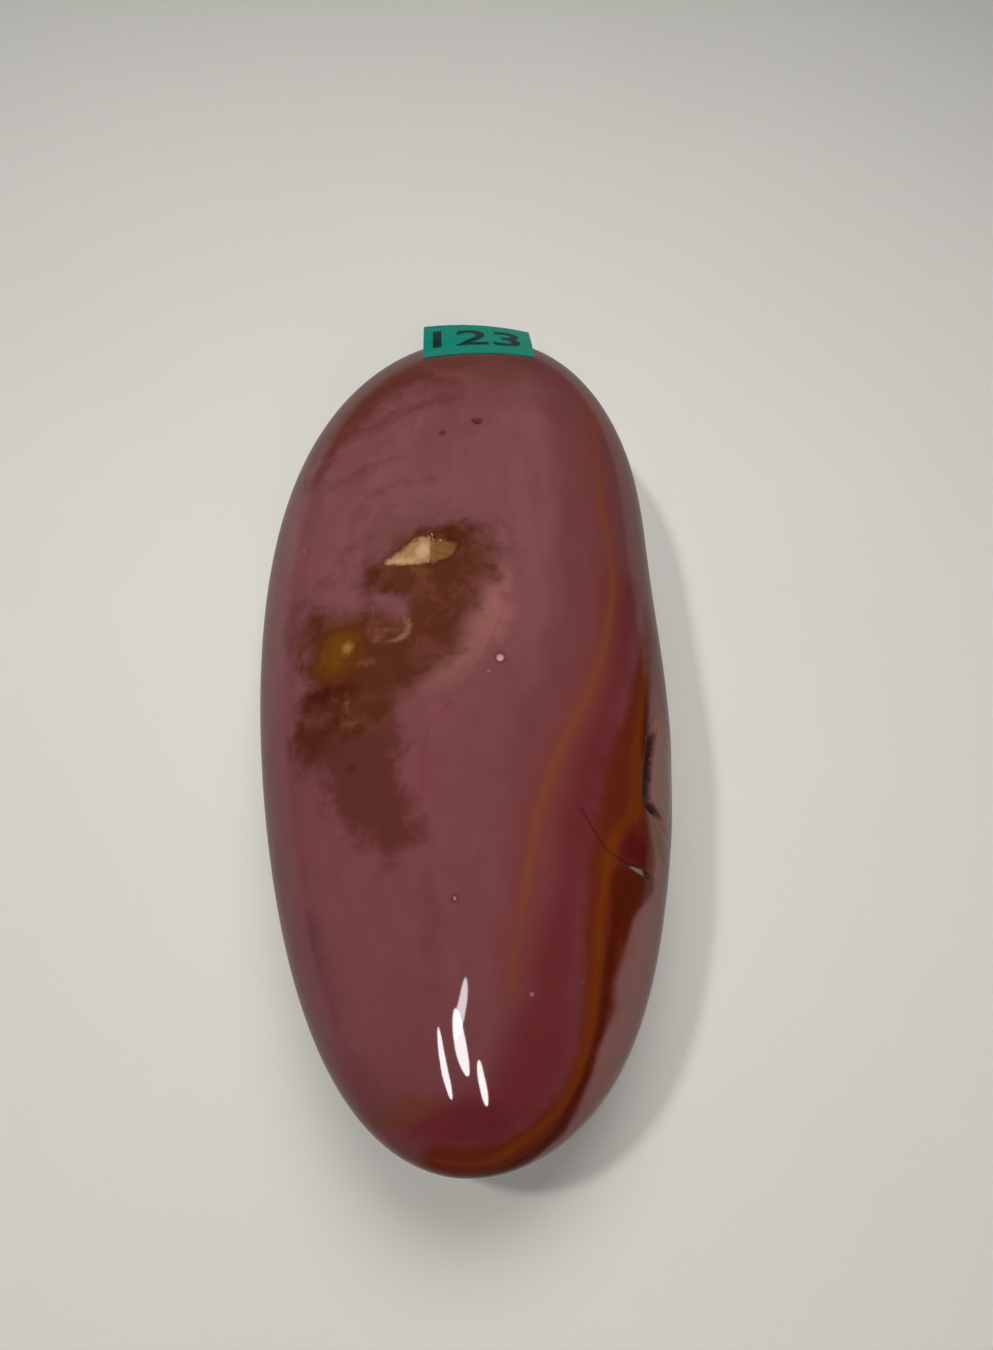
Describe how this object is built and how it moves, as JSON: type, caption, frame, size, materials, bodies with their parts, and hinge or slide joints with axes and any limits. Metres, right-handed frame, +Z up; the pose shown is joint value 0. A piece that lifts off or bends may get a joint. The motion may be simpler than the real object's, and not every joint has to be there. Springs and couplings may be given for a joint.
{
  "type": "polished palm stone",
  "caption": "Smooth elongated palm stone of polychrome jasper, flattened oval, with a natural hollow on one flank, a small vug on top and a strip of number tape at one end.",
  "frame": {"origin": "centre of the stone's outline seen from above, at the level of the surface that it rests on", "axes": "+Y along the stone towards its taped end, +X across it towards the flank with the hollow, +Z up"},
  "size_m": [0.0514, 0.1164, 0.0335],
  "materials": {
    "jasper": "polished",
    "label_tape": "satin"
  },
  "bodies": {
    "root": {"jasper_stone": "jasper", "number_tape": "label_tape"}
  },
  "joints": []
}
